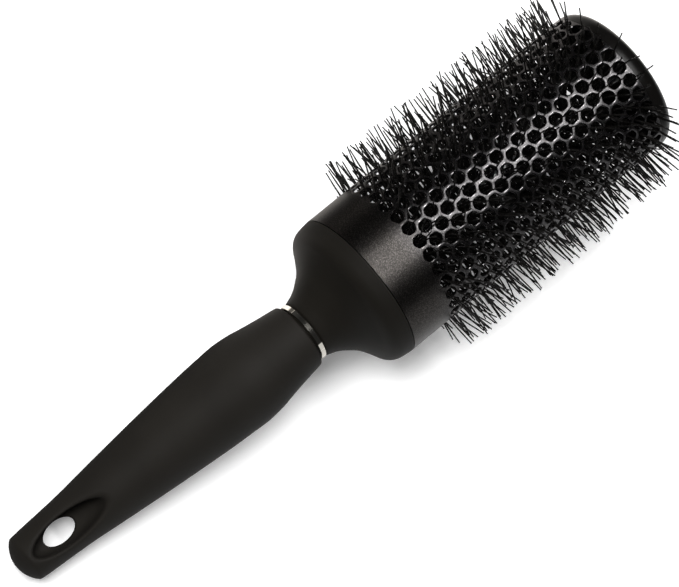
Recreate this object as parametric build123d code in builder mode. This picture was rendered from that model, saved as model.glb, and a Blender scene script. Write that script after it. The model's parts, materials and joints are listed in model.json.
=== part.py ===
"""Large thermal round brush for blow-drying, about 267 mm long with a 55 mm barrel.

A moulded handle carries a vented metal barrel. A wire stem on the axis clamps rows of nylon
bristles that reach out through the vents, and ties the end cap to the shoulder.

The brush is modelled as it lies on a table, on its tail and on the first row of bristles. The
origin is the centre of the hang hole, +X runs horizontally towards the cap and +Z is up.
Stations are distances along the brush axis from the tip of the tail, and radii are distances
from that axis. Everything is placed by planes that are derived from the axis.
"""

import os
from math import atan2, cos, pi, radians, sin, tan

from build123d import *

# ---- driving dimensions, mm and degrees -------------------------------------------------

# grip
handle_length = 119.9  # tail tip to the grip's front face
tail_radius = 8.2  # at the crisp rim of the tail
tail_crown = 3.7  # how far the domed tail stands behind its rim
waist_station = 24.7
waist_radius = 9.6
palm_station = 62.0
palm_radius = 13.3
belly_station = 94.7
belly_radius = 15.45
front_radius = 11.9
front_taper = 9.0  # angle of the last stretch to the axis
front_taper_length = 15.2
front_edge = 0.6  # bevel round the front face

# hang hole, and the leaf-shaped scoops that narrow into it from both sides
hang_station = 17.7
hang_length = 13.0
hang_width = 8.2
hang_lip = 1.6  # thickness of the wall that is left at the hole
basin_station = 20.6  # middle of the scoop's floor
basin_height = 4.6
basin_length = 25.4
basin_width = 9.2
basin_tilt = 2.5
mouth_station = 22.0  # middle of the scoop's mouth, just over the surface of the grip
mouth_height = 10.1
mouth_length = 30.0
mouth_width = 10.2
mouth_tilt = 5.0

# hard core under the grip
core_start = 40.0
core_radius = 9.0

# neck, ring and shoulder
tang_radius = 6.0
tang_length = 42.0
journal_radius = 9.6  # the neck that carries the ring
ring_gap_behind = 0.9
ring_width = 1.9
ring_gap_before = 0.3
ring_radius = 10.8
ring_edge = 0.2
neck_radius = 10.6
neck_slope = 14.0
bell_length = 19.4
bell_foot = (0.38, 0.225)  # shares of the bell's length and rise, where the neck flares out
bell_brow = (0.68, 0.705)  # and where it rounds over to the shelf
shelf_length = 4.3  # gently sloping edge between the bell and the barrel
shelf_drop = 0.45
shoulder_wall = 2.6
spigot_length = 8.0

# barrel
barrel_radius = 27.5
barrel_wall = 0.8
barrel_length = 113.6
collar_length = 15.5  # plain band at the handle end
end_band = 1.5  # plain band at the cap end
vents_per_row = 20
vent_rows = 13
vent_web = 1.8  # metal left between neighbouring vents of a row

# end cap
cap_length = 6.3
cap_land = 0.3  # straight rim beside the barrel
cap_edge_round = 4.6  # radial reach of the rounded edge
cap_crown = 1.2  # height of the domed end over that edge
cap_wall = 3.0
cap_lip = 1.2

# stem and bristles
stem_radius = 1.6
stem_grip = 12.0  # how deep the stem sits in the shoulder's boss
stem_boss_wall = 3.0
stem_cap_grip = 5.0
hub_radius = 3.2  # corner radius of the clamped roots of one row
hub_width = 1.6
tip_radius = 38.5
bristle_rake = 8.0  # the bristles lean towards the cap

slip_fit = 0.05  # radial clearance of the pieces that slide into one another

# straight runs that stand for a curve of a turned profile, which keeps its faces few
palm_runs = 8
crown_runs = 2
bell_runs = 8
rounding_runs = 4

# ---- derived sizes ----------------------------------------------------------------------

neck_start = handle_length
ring_start = neck_start + ring_gap_behind
bell_start = ring_start + ring_width + ring_gap_before
barrel_start = bell_start + bell_length + shelf_length
barrel_end = barrel_start + barrel_length
brush_length = barrel_end + cap_length

# two narrow flats per vent, so that every vent is folded along its own middle
barrel_flats = 2 * vents_per_row
barrel_bore = (barrel_radius - barrel_wall) * cos(pi / barrel_flats)
spigot_radius = barrel_bore - slip_fit

vent_pitch = 2 * pi * barrel_radius / vents_per_row
vent_flats = vent_pitch - vent_web
vent_reach = vent_flats / 2 / cos(pi / 6)  # centre of a vent to its corner
first_row = barrel_start + collar_length + vent_reach
last_row = barrel_end - end_band - vent_reach
row_pitch = (last_row - first_row) / (vent_rows - 1)

tip_station = first_row + (tip_radius - barrel_radius) * tan(radians(bristle_rake))
rest_rise = tip_radius * cos(pi / vents_per_row) - tail_radius
rest_tilt = atan2(rest_rise, tip_station - tail_crown)  # the axis climbs towards the cap

# ---- planes -----------------------------------------------------------------------------

axis_direction = Vector(cos(rest_tilt), 0, sin(rest_tilt))
tail_tip = axis_direction * -hang_station
brush_axis = Axis(tail_tip, axis_direction)
side = Plane(tail_tip, x_dir=axis_direction, z_dir=(0, -1, 0))  # (station, radius) lies in it
flank = Plane(tail_tip, x_dir=axis_direction, z_dir=side.y_dir)  # the same, turned by 90 degrees
across = Plane(tail_tip, x_dir=side.y_dir, z_dir=axis_direction)


def section(station):
    """The plane across the axis at a station, with its own X pointing up."""
    return across.offset(station)


def row_station(row):
    return first_row + row * row_pitch


def row_phase(row):
    """Neighbouring rows are turned by half a pitch, and the first stands on two bristles."""
    return 180 / vents_per_row * ((row + 1) % 2)


def in_runs(curve, runs):
    """A curve as straight runs of equal length."""
    return Polyline(*[curve @ (step / runs) for step in range(runs + 1)])


os.makedirs("parts", exist_ok=True)

# ---- hard handle core, with the socket for the shoulder's tang ---------------------------

tang_tip = neck_start - tang_length

with BuildPart() as handle_core:
    with BuildSketch(section(core_start)):
        Circle(core_radius)
    extrude(amount=handle_length - core_start)
    with BuildSketch(section(tang_tip)):
        Circle(tang_radius + slip_fit)
    extrude(amount=tang_length, mode=Mode.SUBTRACT)
handle_core.part.label = "handle_core"
export_step(handle_core.part, "parts/handle_core.step")

# ---- soft grip, with the hang hole and its two scoops ------------------------------------

taper_start = handle_length - front_taper_length
taper_radius = front_radius + front_taper_length * tan(radians(front_taper))
rim_slope = (waist_radius - tail_radius) / (waist_station - tail_crown)


def leaf_plane(station, height, tilt):
    """A plane over the axis that rises by a tilt towards the barrel, for one outline of the scoop."""
    level = Plane(
        tail_tip + axis_direction * station + side.y_dir * height,
        x_dir=axis_direction,
        z_dir=side.y_dir,
    )
    return level.rotated((0, -tilt, 0))


with BuildPart() as scoop:
    with BuildSketch(leaf_plane(hang_station, hang_lip / 2, 0)):
        Ellipse(hang_length / 2, hang_width / 2)
    with BuildSketch(leaf_plane(basin_station, basin_height, basin_tilt)):
        Ellipse(basin_length / 2, basin_width / 2)
    with BuildSketch(leaf_plane(mouth_station, mouth_height, mouth_tilt)):
        Ellipse(mouth_length / 2, mouth_width / 2)
    loft(ruled=True)

with BuildPart() as handle_grip:
    # turned from the flank, so that the seam of its faces stays clear of the scoops
    with BuildSketch(flank):
        with BuildLine():
            crown = TangentArc((0, 0), (tail_crown, tail_radius), tangent=(0, 1),
                               mode=Mode.PRIVATE)
            in_runs(crown, crown_runs)
            Line((tail_crown, tail_radius), (waist_station, waist_radius))
            palm = Spline(
                (waist_station, waist_radius),
                (palm_station, palm_radius),
                (belly_station, belly_radius),
                (taper_start, taper_radius),
                tangents=((1, rim_slope), (1, -tan(radians(front_taper)))),
                mode=Mode.PRIVATE,
            )
            in_runs(palm, palm_runs)
            Polyline(
                (taper_start, taper_radius),
                (handle_length - front_edge, front_radius + front_edge * tan(radians(front_taper))),
                (handle_length, front_radius - front_edge),
                (handle_length, 0),
                (0, 0),
            )
        make_face()
    revolve(axis=brush_axis)
    with BuildSketch(section(core_start)):
        Circle(core_radius)
    extrude(amount=handle_length - core_start, mode=Mode.SUBTRACT)
    add(scoop.part, mode=Mode.SUBTRACT)
    add(scoop.part.rotate(brush_axis, 180), mode=Mode.SUBTRACT)
    with BuildSketch(Plane((0, 0, 0), x_dir=axis_direction, z_dir=side.y_dir)):
        Ellipse(hang_length / 2, hang_width / 2)
    extrude(amount=hang_lip, both=True, mode=Mode.SUBTRACT)
handle_grip.part.label = "handle_grip"
export_step(handle_grip.part, "parts/handle_grip.step")

# ---- polished neck ring ------------------------------------------------------------------

with BuildPart() as neck_ring:
    with BuildSketch(section(ring_start)):
        Circle(ring_radius)
        Circle(journal_radius + slip_fit, mode=Mode.SUBTRACT)
    extrude(amount=ring_width)
    outer_edges = neck_ring.edges().filter_by(GeomType.CIRCLE).group_by(SortBy.RADIUS)[-1]
    chamfer(outer_edges, ring_edge)
neck_ring.part.label = "neck_ring"
export_step(neck_ring.part, "parts/neck_ring.step")

# ---- shoulder: tang, ring journal, bell, and the spigot that carries the barrel ----------

spigot_end = barrel_start + spigot_length
stem_boss = stem_radius + stem_boss_wall
stem_start = spigot_end - stem_grip
shelf_radius = barrel_radius - shelf_drop
bell_rise = shelf_radius - neck_radius
shelf_start = bell_start + bell_length
cavity_radius = spigot_radius - shoulder_wall


def bell_point(shares):
    """A point of the bell's outline, from shares of its length and of its rise."""
    return (bell_start + shares[0] * bell_length, neck_radius + shares[1] * bell_rise)


with BuildPart() as shoulder:
    with BuildSketch(side):
        with BuildLine():
            Polyline(
                (tang_tip, 0),
                (tang_tip, tang_radius),
                (neck_start, tang_radius),
                (neck_start, journal_radius),
                (bell_start, journal_radius),
                (bell_start, neck_radius),
            )
            bell = Spline(
                (bell_start, neck_radius),
                bell_point(bell_foot),
                bell_point(bell_brow),
                (shelf_start, shelf_radius),
                tangents=((1, tan(radians(neck_slope))), (1, shelf_drop / shelf_length)),
                mode=Mode.PRIVATE,
            )
            in_runs(bell, bell_runs)
            Polyline(
                (shelf_start, shelf_radius),
                (barrel_start, barrel_radius),
                (barrel_start, spigot_radius),
                (spigot_end, spigot_radius),
                (spigot_end, cavity_radius),
                (shelf_start, cavity_radius),
                (shelf_start, stem_boss),
                (spigot_end, stem_boss),
                (spigot_end, stem_radius + slip_fit),
                (stem_start, stem_radius + slip_fit),
                (stem_start, 0),
                (tang_tip, 0),
            )
        make_face()
    revolve(axis=brush_axis)
shoulder.part.label = "shoulder"
export_step(shoulder.part, "parts/shoulder.step")

# ---- barrel: a thin tube with staggered rows of hexagonal vents --------------------------

with BuildPart() as vent_punch:
    # one hexagonal punch along +X, with two of its corners on the brush axis direction
    with BuildSketch(Plane.YZ.offset(barrel_bore - barrel_wall)):
        RegularPolygon(vent_flats / 2, 6, major_radius=False, rotation=30)
    extrude(amount=3 * barrel_wall)

vent_places = [
    section(row_station(row)).location * turn
    for row in range(vent_rows)
    for turn in PolarLocations(0, vents_per_row, start_angle=row_phase(row)).local_locations
]

with BuildPart() as barrel:
    with BuildSketch(section(barrel_start)):
        RegularPolygon(barrel_radius, barrel_flats, rotation=row_phase(0))
        RegularPolygon(barrel_radius - barrel_wall, barrel_flats, rotation=row_phase(0),
                       mode=Mode.SUBTRACT)
    extrude(amount=barrel_length)
    with Locations(*vent_places):
        add(vent_punch.part, mode=Mode.SUBTRACT)
barrel.part.label = "barrel"
export_step(barrel.part, "parts/barrel.step")

# ---- end cap, with a lip in the barrel and a boss for the stem ---------------------------

stem_end = brush_length - cap_crown - cap_wall
boss_face = stem_end - stem_cap_grip
cap_cavity = spigot_radius - cap_wall

with BuildPart() as end_cap:
    with BuildSketch(side):
        with BuildLine():
            land_end = (barrel_end + cap_land, barrel_radius)
            dome_edge = (brush_length - cap_crown, barrel_radius - cap_edge_round)
            edge_round = TangentArc(land_end, dome_edge, tangent=(1, 0), mode=Mode.PRIVATE)
            dome = TangentArc((brush_length, 0), dome_edge, tangent=(0, 1), mode=Mode.PRIVATE)
            Line((barrel_end, barrel_radius), land_end)
            in_runs(edge_round, rounding_runs)
            in_runs(dome, crown_runs)
            Polyline(
                (brush_length, 0),
                (stem_end, 0),
                (stem_end, stem_radius + slip_fit),
                (boss_face, stem_radius + slip_fit),
                (boss_face, stem_boss),
                (stem_end, stem_boss),
                (stem_end, cap_cavity),
                (barrel_end - cap_lip, cap_cavity),
                (barrel_end - cap_lip, spigot_radius),
                (barrel_end, spigot_radius),
                (barrel_end, barrel_radius),
            )
        make_face()
    revolve(axis=brush_axis)
end_cap.part.label = "end_cap"
export_step(end_cap.part, "parts/end_cap.step")

# ---- stem --------------------------------------------------------------------------------

with BuildPart() as core_stem:
    with BuildSketch(section(stem_start)):
        Circle(stem_radius)
    extrude(amount=stem_end - stem_start)
core_stem.part.label = "core_stem"
export_step(core_stem.part, "parts/core_stem.step")

# ---- rows of bristles, one row per row of vents ------------------------------------------

hub_setback = barrel_radius * tan(radians(bristle_rake))  # roots lie behind their vents
hub_apothem = hub_radius * cos(pi / vents_per_row)
hub_side = 2 * hub_radius * sin(pi / vents_per_row)

with BuildPart() as bristle:
    # one tuft along +X, from its clamped root to its tip, leaning towards +Z
    tuft_tip = Vertex(tip_radius, 0, tip_radius * tan(radians(bristle_rake)))
    with BuildSketch(Plane.YZ.offset(hub_apothem)) as tuft_root:
        Rectangle(hub_side, hub_width)
    loft(sections=[tuft_root.sketch.face(), tuft_tip], ruled=True)

with BuildPart() as bristle_ring:
    with BuildSketch(Plane.XY.offset(-hub_width / 2)):
        RegularPolygon(hub_radius, vents_per_row, rotation=180 / vents_per_row)
        Circle(stem_radius + slip_fit, mode=Mode.SUBTRACT)
    extrude(amount=hub_width)
    with PolarLocations(0, vents_per_row):
        add(bristle.part)

for row in range(vent_rows):
    hub_plane = section(row_station(row) - hub_setback)
    with BuildPart() as bristle_row:
        with Locations(hub_plane.location * Location((0, 0, 0), (0, 0, row_phase(row)))):
            add(bristle_ring.part)
    bristle_row.part.label = f"bristle_row_{row + 1:02d}"
    export_step(bristle_row.part, f"parts/bristle_row_{row + 1:02d}.step")
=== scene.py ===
"""Looks of the round barrel brush: smooth turned pieces, the finely vented barrel, the nylon
filaments and the twisted stem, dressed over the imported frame.

Sizes of the brush are in millimetres: a station is the distance along it from the tip of the
tail, and a radius is the distance from its axis. place() turns them into metres. What is said
of the floor, the lamps and the camera is in metres.
"""

import json
import math

import bmesh
import bpy
import numpy as np
from mathutils import Matrix, Vector


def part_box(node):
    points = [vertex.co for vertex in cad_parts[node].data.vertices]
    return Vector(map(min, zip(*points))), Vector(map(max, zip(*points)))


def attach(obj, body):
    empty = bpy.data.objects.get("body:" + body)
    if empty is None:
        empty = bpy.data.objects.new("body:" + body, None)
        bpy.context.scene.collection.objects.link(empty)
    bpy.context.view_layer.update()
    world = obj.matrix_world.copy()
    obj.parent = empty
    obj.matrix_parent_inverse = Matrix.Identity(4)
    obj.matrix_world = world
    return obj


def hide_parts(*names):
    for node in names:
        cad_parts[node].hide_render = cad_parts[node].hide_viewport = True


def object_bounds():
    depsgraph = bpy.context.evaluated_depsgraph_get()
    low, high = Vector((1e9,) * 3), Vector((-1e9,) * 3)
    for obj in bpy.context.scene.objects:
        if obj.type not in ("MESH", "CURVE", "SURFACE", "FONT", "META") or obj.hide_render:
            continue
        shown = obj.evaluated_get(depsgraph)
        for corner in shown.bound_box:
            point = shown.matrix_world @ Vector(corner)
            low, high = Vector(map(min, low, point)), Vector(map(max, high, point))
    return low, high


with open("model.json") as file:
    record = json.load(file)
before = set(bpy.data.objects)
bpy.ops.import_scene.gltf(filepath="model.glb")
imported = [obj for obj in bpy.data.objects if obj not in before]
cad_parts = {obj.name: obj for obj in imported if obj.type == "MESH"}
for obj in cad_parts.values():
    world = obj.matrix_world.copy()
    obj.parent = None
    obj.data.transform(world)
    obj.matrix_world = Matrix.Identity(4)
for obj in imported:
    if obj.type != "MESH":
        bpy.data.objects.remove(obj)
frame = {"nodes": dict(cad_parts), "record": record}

CAD_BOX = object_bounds()
MM = 0.001

# ---- the brush's own axes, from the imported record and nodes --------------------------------

mount = frame["record"]["mounts"][0]
HANG = np.array(mount["pos_m"], float)
HANG_STATION = 17.7  # of the middle of the hanging hole


def centre(node):
    low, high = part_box(node)
    return np.array((low + high) / 2)


ALONG = centre("barrel") - centre("neck_ring")
ALONG /= np.linalg.norm(ALONG)
SIDE = np.cross(np.array(mount["axis"], float), ALONG)
SIDE /= np.linalg.norm(SIDE)
UP = np.cross(ALONG, SIDE)


def place(points):
    """(station, up, side) rows in millimetres to metres in the part's frame."""
    points = np.asarray(points, float)
    local = np.stack([points[:, 0] - HANG_STATION, points[:, 1], points[:, 2]], 1) * MM
    return HANG + local @ np.stack([ALONG, UP, SIDE])


def marks(*stations):
    """Where stations of the brush lie along its axis, in metres from the frame's origin."""
    return place([(station, 0, 0) for station in stations]) @ ALONG


# ---- sizes of the real object ---------------------------------------------------------------

HANDLE_END = 119.9
BARREL_START = 146.7
BARREL_END = 259.75
BRUSH_END = 266.6
BARREL_R = 27.5
SHEET = 0.7  # thickness of the barrel's wall
COLUMNS = 31  # vents round the barrel
ROWS = 20  # and along it, with every other row half a vent further round
FIRST_ROW = 164.7
ROW_PITCH = 4.827
PITCH = 2 * math.pi * BARREL_R / COLUMNS
HOLE = 4.28  # across the flats of a vent
ROLLED = 0.24  # radius of its rolled edge
ROLL = math.radians(6.0)  # turn of the vent pattern about the axis


def cell_centre(row, column):
    """Station of a vent, and how far round the barrel's surface it lies."""
    return FIRST_ROW + row * ROW_PITCH, (column + 0.5 * (row % 2)) * PITCH


# ---- mesh helpers ---------------------------------------------------------------------------


def add_mesh(name, verts, faces, material, sharp=None):
    """A smooth-shaded piece from (station, up, side) vertices and faces."""
    mesh = bpy.data.meshes.new(name)
    mesh.from_pydata(place(verts).tolist(), [], faces)
    mesh.materials.append(material)
    mesh.polygons.foreach_set("use_smooth", [True] * len(mesh.polygons))
    if sharp is not None:
        mesh.set_sharp_from_angle(angle=math.radians(sharp))
    mesh.validate()
    mesh.update()
    piece = bpy.data.objects.new(name, mesh)
    bpy.context.scene.collection.objects.link(piece)
    return piece


def joined(shapes):
    """One list of vertices and one of faces from several (vertices, faces) pairs."""
    verts, faces = [], []
    for more_verts, more_faces in shapes:
        faces += [tuple(n + len(verts) for n in face) for face in more_faces]
        verts += more_verts
    return verts, faces


def flowing(points, steps):
    """A Catmull-Rom curve through (station, radius) points."""
    p = np.array(points, float)
    p = np.vstack([2 * p[0] - p[1], p, 2 * p[-1] - p[-2]])
    out = []
    for i in range(1, len(p) - 2):
        for t in np.linspace(0, 1, steps, endpoint=False):
            a = 2 * p[i]
            b = p[i + 1] - p[i - 1]
            c = 2 * p[i - 1] - 5 * p[i] + 4 * p[i + 1] - p[i + 2]
            d = -p[i - 1] + 3 * p[i] - 3 * p[i + 1] + p[i + 2]
            out.append((a + b * t + c * t * t + d * t**3) / 2)
    out.append(p[-2])
    return [tuple(q) for q in out]


def arc(centre_point, radius, start, end, steps):
    """Points of an arc in the (station, radius) plane, angles in degrees from +station."""
    angles = np.radians(np.linspace(start, end, steps + 1))
    return [
        (centre_point[0] + radius * math.cos(a), centre_point[1] + radius * math.sin(a))
        for a in angles
    ]


def lathe(name, profile, material, sharp, around=224):
    """A turned piece from a half outline; a point on the axis becomes one vertex."""
    angles = np.linspace(0, 2 * math.pi, around, endpoint=False)
    verts, rings = [], []
    for station, radius in profile:
        if radius < 1e-6:
            rings.append([len(verts)] * around)
            verts.append((station, 0, 0))
        else:
            rings.append(list(range(len(verts), len(verts) + around)))
            verts += [(station, radius * math.cos(a), radius * math.sin(a)) for a in angles]
    faces = []
    for low, high in zip(rings, rings[1:]):
        for i in range(around):
            j = (i + 1) % around
            ring = [low[i], low[j], high[j], high[i]]
            faces.append(list(dict.fromkeys(ring)))
    return add_mesh(name, verts, [f for f in faces if len(f) > 2], material, sharp)


# ---- materials ------------------------------------------------------------------------------

WHITE = (1.0, 1.0, 1.0)


def rgba(colour, gain=1.0):
    return (*(gain * c for c in colour), 1)


class Graph:
    """Adds nodes to one tree. An input is fed a plain value or another node's output."""

    def __init__(self, tree):
        self.tree = tree
        self.coords = tree.nodes.new("ShaderNodeTexCoord").outputs

    def feed(self, socket, value):
        if isinstance(value, bpy.types.NodeSocket):
            self.tree.links.new(value, socket)
        else:
            socket.default_value = value

    def node(self, kind, inputs, **settings):
        made = self.tree.nodes.new(kind)
        for key, value in settings.items():
            setattr(made, key, value)
        for key, value in inputs.items():
            self.feed(made.inputs[key], value)
        return made

    def noise(self, scale, detail, stretch=None):
        where = self.coords["Object"]
        if stretch:
            mapping = self.node("ShaderNodeMapping", {"Vector": where, "Scale": stretch})
            where = mapping.outputs["Vector"]
        inputs = {"Vector": where, "Scale": scale, "Detail": detail}
        return self.node("ShaderNodeTexNoise", inputs).outputs["Fac"]

    def cells(self, scale):
        inputs = {"Vector": self.coords["Object"], "Scale": scale}
        return self.node("ShaderNodeTexVoronoi", inputs).outputs["Color"]

    def ramp(self, source, stops):
        """Colours by (position, colour) stops."""
        made = self.node("ShaderNodeValToRGB", {"Fac": source})
        points = made.color_ramp.elements
        while len(points) < len(stops):
            points.new(0.5)
        for point, (position, colour) in zip(points, stops):
            point.position = position
            point.color = rgba(colour)
        return made.outputs["Color"]

    def spread(self, source, low=0.0, high=1.0, start=0.0, end=1.0):
        """Spreads the values from start to end over those from low to high."""
        inputs = {"Value": source, "From Min": start, "From Max": end, "To Min": low,
                  "To Max": high}
        return self.node("ShaderNodeMapRange", inputs).outputs["Result"]

    def along(self, axis, start, end):
        """How far a point lies along an axis, as a share of the way between two marks."""
        inputs = {0: self.coords["Object"], 1: axis}
        dot = self.node("ShaderNodeVectorMath", inputs, operation="DOT_PRODUCT")
        return self.spread(dot.outputs["Value"], start=start, end=end)

    def combine(self, operation, a, b):
        return self.node("ShaderNodeMath", {0: a, 1: b}, operation=operation).outputs[0]

    def mix(self, share, a, b, kind="RGBA"):
        inputs = {"Factor": share, "A": a, "B": b}
        return self.node("ShaderNodeMix", inputs, data_type=kind).outputs["Result"]

    def camera_ray(self):
        return self.node("ShaderNodeLightPath", {}).outputs["Is Camera Ray"]


class Look(Graph):
    """A material built round one Principled shader."""

    def __init__(self, name, colour, rough, metal=0.0, specular=0.5):
        self.material = bpy.data.materials.new(name)
        self.material.use_nodes = True
        super().__init__(self.material.node_tree)
        self.shader = self.tree.nodes["Principled BSDF"]
        self.set("Base Color", rgba(colour))
        self.set("Roughness", rough)
        self.set("Metallic", metal)
        self.set("Specular IOR Level", specular)

    def set(self, socket, value):
        self.feed(self.shader.inputs[socket], value)

    def bump(self, scale, detail, strength, distance, stretch=None):
        """Fine relief by noise; its distance is in metres."""
        inputs = {"Height": self.noise(scale, detail, stretch), "Strength": strength,
                  "Distance": distance}
        self.set("Normal", self.node("ShaderNodeBump", inputs).outputs["Normal"])


def soft_touch(name, colour, rough, specular):
    """Matte moulded soft-touch skin with a fine grain and faint handling marks."""
    look = Look(name, colour, rough, specular=specular)
    stops = [(0.35, [c * 0.9 for c in colour]), (0.7, [c * 1.12 for c in colour])]
    look.set("Base Color", look.ramp(look.noise(45, 3), stops))
    look.set("Roughness", look.spread(look.noise(28, 4), rough - 0.05, rough + 0.06))
    look.bump(5200, 2, strength=0.12, distance=0.00004)
    return look.material


# from the dullest flakes of the barrel's paint to the brightest
FLAKES = [(0.0, (0.024, 0.0235, 0.0235)), (0.6, (0.05, 0.0485, 0.049)),
          (1.0, (0.12, 0.117, 0.117))]
# the plain band at the neck is painted darker and warmer than the vented part, as painted
# shade that dims and warms the lamp's streak on it, and the vented part is painted brighter,
# as painted light on its streak; the band is also duller, and between two stations the one
# finish passes into the other
BAND_SHADE_TINT = (0.87, 0.825, 0.77)
VENTED_LIGHT_TINT = (1.2, 1.19, 1.2)
BAND_DULLNESS = 0.06
BAND_LAST, VENTED_FIRST = 158, 170


def flake_paint(name, low, high, gain=1.0):
    """Dark metallic paint on the barrel: satin, with a sparkle that shows in highlights;
    painted shade darkens its colour on the plain band, and painted light brightens it on the
    vents and by gain.
    """
    look = Look(name, FLAKES[1][1], low, metal=1.0)
    vented = look.along(ALONG, *marks(BAND_LAST, VENTED_FIRST))
    painted_light_tint = look.mix(vented, rgba(BAND_SHADE_TINT, gain), rgba(VENTED_LIGHT_TINT, gain))
    inputs = {0: look.ramp(look.cells(4200), FLAKES), 1: painted_light_tint}
    flakes = look.node("ShaderNodeVectorMath", inputs, operation="MULTIPLY")
    look.set("Base Color", flakes.outputs["Vector"])
    dullness = look.mix(vented, BAND_DULLNESS, 0.0, kind="FLOAT")
    satin = look.spread(look.noise(2600, 1), low, high)
    look.set("Roughness", look.combine("ADD", satin, dullness))
    look.bump(3600, 1, strength=0.12, distance=0.00003)
    return look.material


def polished(name, colour, rough):
    """Bright polished metal with faint turning lines round the axis."""
    look = Look(name, colour, rough, metal=1.0)
    lines = look.noise(900, 2, stretch=(6, 1, 1))
    look.set("Roughness", look.spread(lines, rough - 0.02, rough + 0.02))
    look.bump(700, 2, strength=0.012, distance=0.00002, stretch=(8, 1, 1))
    return look.material


def satin_cap():
    look = Look("cap_black", (0.004, 0.0037, 0.0034), 0.24, specular=0.1)
    look.set("Roughness", look.spread(look.noise(60, 3), 0.21, 0.28))
    look.bump(4200, 2, strength=0.08, distance=0.00003)
    return look.material


def nylon():
    look = Look("bristle_nylon", (0.004, 0.0038, 0.0036), 0.2, specular=0.22)
    stops = [(0.3, (0.003, 0.0028, 0.0026)), (0.8, (0.007, 0.0065, 0.006))]
    look.set("Base Color", look.ramp(look.noise(700, 1), stops))
    look.set("Roughness", look.spread(look.noise(500, 1), 0.15, 0.3))
    return look.material


def moulded_core():
    look = Look("core_plastic", (0.03, 0.03, 0.03), 0.5)
    look.bump(900, 3, strength=0.1, distance=0.00005)
    return look.material


GRIP = soft_touch("grip_skin", (0.0108, 0.0097, 0.0083), 0.62, 0.18)
SHOULDER = soft_touch("shoulder_skin", (0.0075, 0.0067, 0.0055), 0.58, 0.14)
PAINT = flake_paint("barrel_paint", 0.26, 0.33)
EDGE_GLINT_PAINT = flake_paint("vent_edge_glint_paint", 0.09, 0.13, 1.7)  # glossier where rolled, and 1.7 times brighter in colour as a painted highlight on the vent edges
RING = polished("ring_chrome", (0.78, 0.75, 0.68), 0.06)
WIRE = polished("stem_wire", (0.42, 0.42, 0.42), 0.3)
CAP = satin_cap()
NYLON = nylon()
CORE = moulded_core()

# ---- handle: a field of distances that is meshed, so every edge of the scoop is soft --------

TAIL_R = 8.2
CROWN = 3.7  # how far the tail's dome stands out
CROWN_R = (TAIL_R**2 + CROWN**2) / (2 * CROWN)
HANDLE_STATIONS = [CROWN, 8.7, 16.7, 24.7, 32.7, 40.7, 48.7, 56.7, 64.7, 72.7,
                   80.7, 88.7, 94.7, 100.7, 104.7, 108.7, 112.7, 116.7, 119.9, 122.0]
HANDLE_RADII = [TAIL_R, 8.6, 9.06, 9.6, 10.42, 11.25, 12.03, 12.8, 13.5, 14.17,
                14.77, 15.2, 15.43, 14.95, 14.25, 13.55, 12.93, 12.35, 11.9, 11.6]

# the scoop at heights over the axis: where its outline starts and ends, and half its width
SCOOP_HEIGHTS = [0, 0.8, 1.5, 2.6, 4.6, 7.2, 10.1, 14.0]
SCOOP_STARTS = [11.5, 11.5, 10.3, 8.6, 6.9, 6.1, 5.7, 5.4]
SCOOP_ENDS = [23.9, 23.9, 26.0, 28.6, 31.6, 33.6, 34.9, 36.2]
SCOOP_WIDTHS = [3.75, 3.75, 4.1, 4.45, 4.65, 4.75, 4.85, 5.0]
SCOOP_MIDDLE = 21.5
SCOOP_RISE = 0.0087  # share by which its outlines stand higher, per mm towards the barrel

# how far its edges are rounded over: of the dome, of the end at the neck and of the scoops
DOME_EDGE = 0.35
NECK_EDGE = 0.8
SCOOP_EDGE = 1.9


def smooth_table(stations, radii):
    """Radius at any station, through a finely divided smooth curve."""
    curve = np.array(flowing(list(zip(stations, radii)), 12))
    return lambda s: np.interp(s, curve[:, 0], curve[:, 1])


handle_radius = smooth_table(HANDLE_STATIONS, HANDLE_RADII)
scoop_start = smooth_table(SCOOP_HEIGHTS, SCOOP_STARTS)
scoop_end = smooth_table(SCOOP_HEIGHTS, SCOOP_ENDS)
scoop_width = smooth_table(SCOOP_HEIGHTS, SCOOP_WIDTHS)


def smooth_max(a, b, k):
    """The larger of two fields, with the corner between them rounded over about k."""
    h = np.clip(0.5 + 0.5 * (a - b) / k, 0, 1)
    return b + (a - b) * h + k * h * (1 - h)


def scoop_share(s, u, w):
    """0 on the middle line of the scoops and 1 on their walls; both run into the hole."""
    height = np.abs(u) / (1 + SCOOP_RISE * (s - SCOOP_MIDDLE))
    start, end = scoop_start(height), scoop_end(height)
    along = (2 * s - start - end) / (end - start)
    return np.sqrt(along**2 + (w / scoop_width(height)) ** 2)


def handle_field(s, u, w):
    """Signed distance, roughly, of the handle: negative inside."""
    rho = np.sqrt(u * u + w * w) + 1e-9  # never nought
    body = rho - handle_radius(s)
    dome = np.sqrt(np.maximum(CROWN_R - s, 0.0) ** 2 + rho * rho) - CROWN_R
    dome = np.where(s < CROWN_R, dome, -5.0)  # well inside, so it has no say there
    field = smooth_max(body, dome, DOME_EDGE)
    field = smooth_max(field, s - HANDLE_END, NECK_EDGE)
    share = scoop_share(s, u, w)
    nudge = 0.05
    slope = np.sqrt((scoop_share(s + nudge, u, w) - share) ** 2
                    + (scoop_share(s, u + nudge, w) - share) ** 2
                    + (scoop_share(s, u, w + nudge) - share) ** 2) / nudge
    least_slope, far = 0.05, 6
    scoop = (1 - share) / np.maximum(slope, least_slope)
    return smooth_max(field, np.clip(scoop, -far, far), SCOOP_EDGE)


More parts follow.
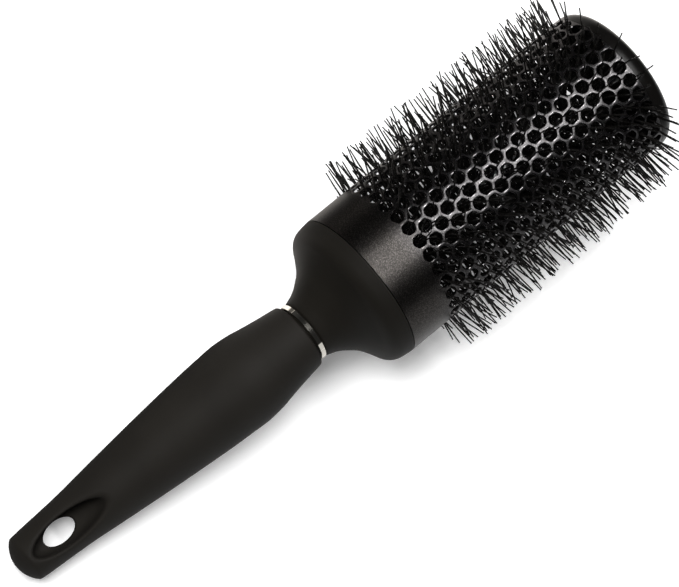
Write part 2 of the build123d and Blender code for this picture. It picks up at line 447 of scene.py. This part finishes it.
def surface_nets(field, low, high, step):
    """Mesh of a field's zero level: one vertex per crossed cell, pulled onto the level."""
    axes = [np.arange(l, h + step, step) for l, h in zip(low, high)]
    grid = np.meshgrid(*axes, indexing="ij")
    value = field(*grid)
    inside = value < 0
    total = np.zeros(tuple(n - 1 for n in value.shape) + (3,))
    count = np.zeros(total.shape[:3])
    for axis in range(3):
        first = [slice(None)] * 3
        second = [slice(None)] * 3
        first[axis], second[axis] = slice(0, -1), slice(1, None)
        a, b = value[tuple(first)], value[tuple(second)]
        crossed = inside[tuple(first)] != inside[tuple(second)]
        part = np.where(crossed, a / np.where(a == b, 1, a - b), 0)
        point = np.stack([g[tuple(first)] for g in grid], -1)
        point[..., axis] += part * step
        others = [k for k in range(3) if k != axis]
        for i in (0, 1):
            for j in (0, 1):
                pick = [slice(None)] * 3
                pick[others[0]] = slice(i, value.shape[others[0]] - 1 + i)
                pick[others[1]] = slice(j, value.shape[others[1]] - 1 + j)
                hit = crossed[tuple(pick)]
                total += np.where(hit[..., None], point[tuple(pick)], 0)
                count += hit
    used = count > 0
    index = np.full(used.shape, -1)
    index[used] = np.arange(used.sum())
    verts = total[used] / count[used][:, None]
    pulls, nudge, least_slope_squared = 3, 0.02, 0.2
    for _ in range(pulls):
        here = field(*verts.T)
        slope = np.stack([(field(*(verts + nudge * np.eye(3)[k]).T) - here) / nudge
                          for k in range(3)], 1)
        squared = np.maximum((slope**2).sum(1), least_slope_squared)
        verts = verts - slope * (here / squared)[:, None]
    faces = []
    for axis in range(3):
        first = [slice(1, -1)] * 3
        second = [slice(1, -1)] * 3
        first[axis], second[axis] = slice(0, -1), slice(1, None)
        a, b = inside[tuple(first)], inside[tuple(second)]
        where = np.argwhere(a != b)
        flip = a[tuple(where.T)]
        others = [k for k in range(3) if k != axis]
        base = where.copy()
        for k in others:
            base[:, k] += 1
        corner = []
        for i, j in ((0, 0), (1, 0), (1, 1), (0, 1)):
            at = base.copy()
            at[:, others[0]] -= i
            at[:, others[1]] -= j
            corner.append(index[tuple(at.T)])
        quad = np.stack(corner, 1)
        turn = flip if axis != 1 else ~flip
        quad[~turn] = quad[~turn][:, ::-1]
        faces.append(quad)
    return verts, np.concatenate(faces)


def build_handle():
    step = 0.42
    room = 16.4  # half the width of the block that is searched for the surface
    verts, quads = surface_nets(handle_field, (-1.0, -room, -room), (121.0, room, room), step)
    return add_mesh("grip_skin", verts, quads.tolist(), GRIP)


# ---- barrel: a staggered pattern of hexagonal cells wrapped round a cylinder ----------------

SAMPLES = 24  # points round a cell, and round its vent
CORNER_REACH = 1.07  # how far a vent's corners reach, as a share of how far its flats do
EDGE_DEGREES = (0, 30, 60, 90)  # round a vent's rolled edge, from the face into the vent
CRISP = 28  # degrees over which an edge of the barrel isn't smoothed


def hexagon(angles, flats):
    """Distance from a cell's centre to a hexagon whose corners point along the axis."""
    sixth = math.pi / 3
    return flats / 2 / np.cos((angles + sixth / 2) % sixth - sixth / 2)


def rounded_hexagon(angles, flats):
    """The same with its corners cut round by a circle."""
    return np.minimum(hexagon(angles, flats), flats / 2 * CORNER_REACH)


def build_barrel():
    angles = np.arange(SAMPLES) * 2 * math.pi / SAMPLES
    cell_edge = hexagon(angles, PITCH)
    inner_r = BARREL_R - SHEET
    rings = [(cell_edge, BARREL_R)]
    for degrees in EDGE_DEGREES:
        t = math.radians(degrees)
        rings.append((rounded_hexagon(angles, HOLE + 2 * ROLLED * (1 - math.sin(t))),
                      BARREL_R - ROLLED * (1 - math.cos(t))))
    rings += [(rounded_hexagon(angles, HOLE), inner_r), (cell_edge, inner_r)]
    rolled_levels = range(1, len(EDGE_DEGREES))  # level 0 is the outer face of the web
    flat, faces = [], []  # flat holds (station, arc length, radius)
    rolled_faces = []
    known = {}
    whole_turn = COLUMNS * PITCH

    def vertex(station, along, radius):
        along %= whole_turn
        key = (round(station, 3), round(along, 3) % round(whole_turn, 3), round(radius, 3))
        if key not in known:
            known[key] = len(flat)
            flat.append((station, along, radius))
        return known[key]

    def on_ring(row, column, reach, k):
        s, a = cell_centre(row, column)
        k %= SAMPLES
        return s + reach[k] * math.sin(angles[k]), a + reach[k] * math.cos(angles[k])

    for row in range(ROWS):
        for column in range(COLUMNS):
            loops = [[vertex(*on_ring(row, column, reach, k), depth) for k in range(SAMPLES)]
                     for reach, depth in rings]
            for level, (low, high) in enumerate(zip(loops, loops[1:])):
                for k in range(SAMPLES):
                    n = (k + 1) % SAMPLES
                    if level in rolled_levels:
                        rolled_faces.append(len(faces))
                    faces.append([low[k], low[n], high[n], high[k]])

    # plain bands at both ends, joined to the zigzag edge of the pattern: the row, the twelfths
    # of a turn round its cells between which they face the band, the band's end and its steps
    ends = ((0, 7, 11, BARREL_START + 0.03, 14), (ROWS - 1, 1, 5, BARREL_END - 0.1, 2))
    for row, first, last, end, steps in ends:
        span = range(SAMPLES * first // 12, SAMPLES * last // 12 + 1)
        for column in range(COLUMNS):
            edge = [on_ring(row, column, cell_edge, k) for k in span]
            for (s0, a0), (s1, a1) in zip(edge, edge[1:]):
                for depth in (BARREL_R, inner_r):
                    shares = [t / steps for t in range(steps + 1)]
                    left = [vertex(s0 + (end - s0) * t, a0, depth) for t in shares]
                    right = [vertex(s1 + (end - s1) * t, a1, depth) for t in shares]
                    for n in range(steps):
                        faces.append([left[n], right[n], right[n + 1], left[n + 1]])
                faces.append([vertex(end, a0, BARREL_R), vertex(end, a1, BARREL_R),
                              vertex(end, a1, inner_r), vertex(end, a0, inner_r)])

    flat = np.array(flat)
    turn = flat[:, 1] / BARREL_R + ROLL
    verts = np.stack([flat[:, 0], flat[:, 2] * np.cos(turn), flat[:, 2] * np.sin(turn)], 1)
    piece = tidy_normals(add_mesh("vented_barrel", verts, faces, PAINT), CRISP)
    piece.data.materials.append(EDGE_GLINT_PAINT)
    for index in rolled_faces:
        piece.data.polygons[index].material_index = 1
    return piece


def tidy_normals(piece, sharp):
    """Turns every face outwards and keeps edges over an angle crisp."""
    work = bmesh.new()
    work.from_mesh(piece.data)
    bmesh.ops.recalc_face_normals(work, faces=work.faces)
    work.to_mesh(piece.data)
    work.free()
    piece.data.set_sharp_from_angle(angle=math.radians(sharp))
    return piece


# ---- bristles: clusters of nylon filaments through the vents --------------------------------

STEM_R = 1.6
FILAMENT = 0.29  # radius of a filament
ROOT_GAIN = 1.15  # how much thicker it is at its root
COUNTS, ODDS = (1, 2, 3), (0.52, 0.38, 0.10)  # of filaments in a vent
IN_VENT = 0.8  # share of a vent's radius that they stand within
REACH, REACH_SPREAD, REACH_MOST = 38.6, 0.75, 39.9  # radius of the tips
LEAN, LEAN_SPREAD = 7, 7  # degrees towards the cap
SLEW_SPREAD = 9  # degrees round the brush
LAST_TIP = BRUSH_END - 2.0
ROOT_SPREAD, ROOT_TURN_SPREAD = 0.8, 0.25  # along the stem, and radians round it
KNEE_R = 15.0  # radius of the point between root and vent
OFF_TABLE = 0.0001  # least height of a tip over the table in metres


def filament(path, radius, sides=5, root=1.0):
    """Vertices and faces of one thin tube along a path, narrowed at its tip."""
    path = np.array(path)
    tangents = np.gradient(path, axis=0)
    tangents /= np.linalg.norm(tangents, axis=1)[:, None]
    verts, faces = [], []
    for k, (point, tangent) in enumerate(zip(path, tangents)):
        across = np.cross(tangent, (1.0, 0.0, 0.0))
        across /= np.linalg.norm(across)
        over = np.cross(tangent, across)
        size = radius * (0.8 if k == len(path) - 1 else root if k < 2 else 1.0)
        for n in range(sides):
            a = 2 * math.pi * n / sides
            verts.append(point + size * (math.cos(a) * across + math.sin(a) * over))
    for k in range(len(path) - 1):
        here, after = k * sides, (k + 1) * sides
        for n in range(sides):
            m = (n + 1) % sides
            faces.append((here + n, here + m, after + m, after + n))
    faces.append(tuple((len(path) - 1) * sides + n for n in range(sides)))
    return verts, faces


def filament_path(rng, vent_s, vent_a):
    """Points of one filament from the stem, through a vent, to its tip."""
    off = HOLE / 2 * IN_VENT * np.sqrt(rng.random())
    spin = rng.random() * 2 * math.pi
    at_s = vent_s + off * math.cos(spin)
    at_a = vent_a + off * math.sin(spin) / BARREL_R
    reach = min(REACH + rng.normal(0, REACH_SPREAD), REACH_MOST)
    lean = math.radians(LEAN + rng.normal(0, LEAN_SPREAD))
    slew = math.radians(rng.normal(0, SLEW_SPREAD))
    rise = reach - BARREL_R
    tip_s = min(at_s + rise * math.tan(lean), LAST_TIP)
    tip_a = at_a + rise * math.tan(slew) / reach
    root_s = at_s - BARREL_R * math.tan(math.radians(LEAN)) + rng.normal(0, ROOT_SPREAD)
    root_a = at_a + rng.normal(0, ROOT_TURN_SPREAD)
    points = ((STEM_R, root_s, root_a),
              (KNEE_R, (root_s + at_s) / 2, (root_a + 2 * at_a) / 3),
              (BARREL_R - 1.0, at_s, at_a),
              (BARREL_R + rise * 0.5, (at_s + tip_s) / 2, (at_a + tip_a) / 2),
              (reach, tip_s, tip_a))
    return [(s, r * math.cos(a), r * math.sin(a)) for r, s, a in points]


def build_bristles():
    rng = np.random.default_rng(41)
    pieces = []
    for row in range(ROWS):
        filaments = []
        for column in range(COLUMNS):
            s, along = cell_centre(row, column)
            for _ in range(rng.choice(COUNTS, p=ODDS)):
                path = filament_path(rng, s, along / BARREL_R + ROLL)
                filaments.append(filament(path, FILAMENT, root=ROOT_GAIN))
        cluster = add_mesh(f"bristle_cluster_{row + 1:02d}", *joined(filaments), NYLON)
        for vertex in cluster.data.vertices:
            vertex.co.z = max(vertex.co.z, CAD_BOX[0].z + OFF_TABLE)  # tips bend on the table
        pieces.append(cluster)
    return pieces


# ---- stem: two wires twisted together -------------------------------------------------------

STEM_START, STEM_END = 143.0, 265.8
TWIST = 9.0  # length of one turn of the wires
WIRE_R = 0.8
WIRE_OFF = 0.82  # from the brush axis to the middle of a wire


def build_stem():
    stations = np.linspace(STEM_START, STEM_END, 420)
    wires = []
    for wire in (0, 1):
        a = stations * 2 * math.pi / TWIST + wire * math.pi
        path = np.stack([stations, WIRE_OFF * np.cos(a), WIRE_OFF * np.sin(a)], 1)
        wires.append(filament(path, WIRE_R, sides=10))
    return add_mesh("twisted_stem", *joined(wires), WIRE)


# ---- turned pieces --------------------------------------------------------------------------

RING_START = 120.8
RING_WIDTH = 1.9
RING_R = 10.8
RING_BEVEL = 0.16
JOURNAL_R = 9.6  # of the neck inside the ring
BELL_START = 123.0
CAP_LIP = 258.95  # where the cap's skin starts, just over the barrel's end
CAP_CORNER = 4.8  # radius of the rounded edge between the cap's side and its dome
CAP_DOME = 1.25  # how far the dome stands out past that edge


def build_ring():
    end = RING_START + RING_WIDTH
    profile = [(RING_START, JOURNAL_R + 0.05), (RING_START, RING_R - RING_BEVEL),
               (RING_START + RING_BEVEL, RING_R), (end - RING_BEVEL, RING_R),
               (end, RING_R - RING_BEVEL), (end, JOURNAL_R + 0.05)]
    return lathe("polished_ring", profile, RING, sharp=30)


def build_shoulder():
    neck = [(119.95, 6.0), (119.95, JOURNAL_R), (BELL_START, JOURNAL_R), (BELL_START, 10.4)]
    bell = flowing([(123.35, 10.72), (123.9, 11.0), (127.1, 12.2), (130.4, 14.3),
                    (133.9, 17.35), (137.1, 21.9), (138.7, 24.6), (140.0, 25.95),
                    (141.6, 26.75), (143.5, 27.15), (146.2, 27.47)], 8)
    lip = [(146.52, 27.38), (146.62, 27.1), (146.62, 26.3), (154.7, 26.3)]
    return lathe("shoulder_skin", neck + bell + lip, SHOULDER, sharp=50)


def build_cap():
    side = [(BARREL_END - 1.2, 25.5), (BARREL_END - 1.2, 26.4), (BARREL_END + 0.1, 26.4),
            (BARREL_END + 0.1, 27.3), (CAP_LIP, 27.46), (CAP_LIP + 0.03, 27.52),
            (CAP_LIP + 0.1, 27.53)]
    corner = arc((BRUSH_END - CAP_DOME - CAP_CORNER, BARREL_R - CAP_CORNER), CAP_CORNER,
                 90, 6, 22)
    edge_s, edge_r = corner[-1]
    dome = [(BRUSH_END - (BRUSH_END - edge_s) * (r / edge_r) ** 2, r)
            for r in np.linspace(edge_r, 0, 16)[1:]]
    return lathe("domed_cap", side + corner + dome, CAP, sharp=50)


# ---- the pieces and the frame's nodes they stand for, and the core's finish -----------------


def settle(piece, slot, *nodes):
    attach(piece, "root")
    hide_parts(*nodes)


settle(build_handle(), "soft_grip", "handle_grip")
settle(build_ring(), "ring_chrome", "neck_ring")
settle(build_shoulder(), "shoulder_soft", "shoulder")
settle(build_barrel(), "barrel_black", "barrel")
settle(build_cap(), "cap_black", "end_cap")
settle(build_stem(), "stem_steel", "core_stem")
cad_rows = sorted(n for n in frame["nodes"] if n.startswith("bristle_row"))
for number, cluster in enumerate(build_bristles()):
    node = cad_rows[round(number * (len(cad_rows) - 1) / (ROWS - 1))]
    settle(cluster, "bristle_nylon", node)

core = frame["nodes"]["handle_core"]
core.data.materials.clear()
core.data.materials.append(CORE)

# ---- camera: over the tail, with the brush climbing to the right of the picture -------------

FALL = math.radians(14.4)  # the brush axis falls away from the viewer
CLIMB = math.radians(39.2)  # and climbs to the right in the picture
TURN = math.radians(8.0)  # and is rolled about its axis, its left side towards the viewer
FIRST_ROW_IN_VIEW = (0.02016, -0.01341, 1.00238)  # right, down and forward of the camera
SENSOR_MM = 36
FOCAL_MM = 159.25626

axis_in_view = np.array((math.cos(FALL) * math.cos(CLIMB), -math.cos(FALL) * math.sin(CLIMB),
                         math.sin(FALL)))
facing = np.array((0, 0, -1.0)) + axis_in_view[2] * axis_in_view
facing /= np.linalg.norm(facing)
beside = np.cross(facing, axis_in_view)
up_in_view = math.cos(TURN) * facing - math.sin(TURN) * beside
side_in_view = np.cross(up_in_view, axis_in_view)
to_part = (np.outer(ALONG, axis_in_view) + np.outer(UP, up_in_view)
           + np.outer(SIDE, side_in_view))
right, down, forward = to_part.T

eye = place([(FIRST_ROW, 0, 0)])[0] - to_part @ FIRST_ROW_IN_VIEW
camera = bpy.data.objects.new("camera", bpy.data.cameras.new("camera"))
bpy.context.scene.collection.objects.link(camera)
basis = Matrix((right, -down, -forward)).transposed()
camera.matrix_world = Matrix.Translation(Vector(eye)) @ basis.to_4x4()
camera.data.sensor_width = SENSOR_MM
camera.data.lens = FOCAL_MM
camera.data.clip_start = 0.05
bpy.context.scene.camera = camera

# ---- floor: one white to the camera, and zones of grey in what the brush mirrors ------------

FLOOR_HALF = 3.0
SEEN_WHITE = 0.94
# marks are along SIDE, which points to the left of the brush as it is seen from its tail
GLOW_RIGHT, GLOW_LEFT = 0.8, 0.2
GLOW_CHANGES = (-0.066, -0.040)
RIGHT_GREY = 0.55
RIGHT_TO_LEFT = (-0.05, 0.03)
FAR_OFF_TO_BESIDE = (0.075, 0.05)
# levels and a warm tint of the floor for all but the camera: painted reflection and bounce
# light on the brush, dim by the handle, white by the neck for the ring's bright ends
HANDLE_LEVEL, NECK_LEVEL = 0.12, 1.0
WARM = (1.0, 0.95, 0.9)

floor_z = CAD_BOX[0].z
floor_mesh = bpy.data.meshes.new("floor")
floor_mesh.from_pydata([(x * FLOOR_HALF, y * FLOOR_HALF, floor_z)
                        for x, y in ((-1, -1), (1, -1), (1, 1), (-1, 1))], [], [(0, 1, 2, 3)])
floor = bpy.data.objects.new("floor", floor_mesh)
bpy.context.scene.collection.objects.link(floor)

floor_look = Look("floor_white", WHITE, 0.9, specular=0.1)
floor_mesh.materials.append(floor_look.material)
along_brush = floor_look.along(ALONG, *marks(0, BRUSH_END))


def floor_levels(barrel, cap):
    """Levels along the brush: a dim handle side, a white neck, then the barrel and the cap."""
    levels = ((116, HANDLE_LEVEL), (120, NECK_LEVEL), (138, NECK_LEVEL), (146, barrel),
              (258, barrel), (266, cap))
    stops = [(station / BRUSH_END, [level * c for c in WARM]) for station, level in levels]
    return floor_look.ramp(along_brush, stops)


# it glows to the camera alone, as painted light: more from a little way off the bristles on the
# right, where it shows as plain white over the brush's shadow
glow = floor_look.spread(floor_look.along(SIDE, *GLOW_CHANGES), GLOW_RIGHT, GLOW_LEFT)
seen_glow = floor_look.combine("MULTIPLY", floor_look.camera_ray(), glow)
floor_look.set("Emission Color", rgba(WHITE))
floor_look.set("Emission Strength", seen_glow)

# the brush mirrors a floor that is grey on the right; on the left it is whitest beside the
# neck and dark off the barrel, as by a black flag there, but paler close beside it
left_floor = floor_look.mix(floor_look.along(SIDE, *FAR_OFF_TO_BESIDE),
                            floor_levels(barrel=0.07, cap=0.6),
                            floor_levels(barrel=0.48, cap=0.9))
mirrored_floor = floor_look.mix(floor_look.along(SIDE, *RIGHT_TO_LEFT),
                                rgba(WHITE, RIGHT_GREY), left_floor)
floor_colour = floor_look.mix(floor_look.camera_ray(), mirrored_floor, rgba(WHITE, SEEN_WHITE))
floor_look.set("Base Color", floor_colour)

# ---- room: white to the camera; otherwise dim, and the more so overhead ---------------------

LOW_DOWN, OVERHEAD = 0.05, 0.6  # heights of a direction, with 1 straight up
LOW_LEVEL, OVERHEAD_LEVEL = 0.05, 0.02

world = bpy.data.worlds.new("studio")
world.use_nodes = True
sky = Graph(world.node_tree)
height = sky.node("ShaderNodeSeparateXYZ", {0: sky.coords["Generated"]}).outputs["Z"]
room = sky.spread(height, LOW_LEVEL, OVERHEAD_LEVEL, start=LOW_DOWN, end=OVERHEAD)
back = world.node_tree.nodes["Background"]
sky.feed(back.inputs["Color"], rgba(WHITE))
sky.feed(back.inputs["Strength"], sky.mix(sky.camera_ray(), room, 1.0, kind="FLOAT"))
bpy.context.scene.world = world

# ---- lamps ----------------------------------------------------------------------------------


def softbox(name, aim, away, length, width, power, mirrored=True):
    """An area lamp that looks at a station of the brush; its length lies along the brush."""
    lamp = bpy.data.lights.new(name, "AREA")
    lamp.shape = "RECTANGLE"
    lamp.size = length
    lamp.size_y = width
    lamp.energy = power
    holder = bpy.data.objects.new(name, lamp)
    holder.visible_glossy = mirrored
    bpy.context.scene.collection.objects.link(holder)
    back_axis = Vector(away).normalized()
    long_axis = Vector(ALONG)
    long_axis = (long_axis - long_axis.dot(back_axis) * back_axis).normalized()
    basis = Matrix((long_axis, back_axis.cross(long_axis), back_axis)).transposed()
    where = Vector(place([(aim, 0, 0)])[0] + np.asarray(away))
    holder.matrix_world = Matrix.Translation(where) @ basis.to_4x4()


# the key and the glint stand where the upper side of the brush mirrors them to the camera
KEY_TURN = TURN + 0.06
towards_key = math.cos(KEY_TURN) * UP + math.sin(KEY_TURN) * SIDE
key_away = 1.1 * (math.cos(FALL) * towards_key + math.sin(FALL) * ALONG)
broad_away = 1.2 * UP + 0.5 * SIDE - 0.3 * ALONG
card_away = -0.5 * SIDE + 0.06 * UP
softbox("key", aim=283, away=key_away, length=0.155, width=0.85, power=7.6)
softbox("broad", aim=150, away=broad_away, length=0.55, width=0.55, power=22.5, mirrored=False)
softbox("glint", aim=75, away=key_away, length=0.05, width=0.55, power=0.032)
softbox("card", aim=190, away=card_away, length=0.5, width=0.35, power=0.35)

bpy.context.scene.view_settings.view_transform = "Standard"
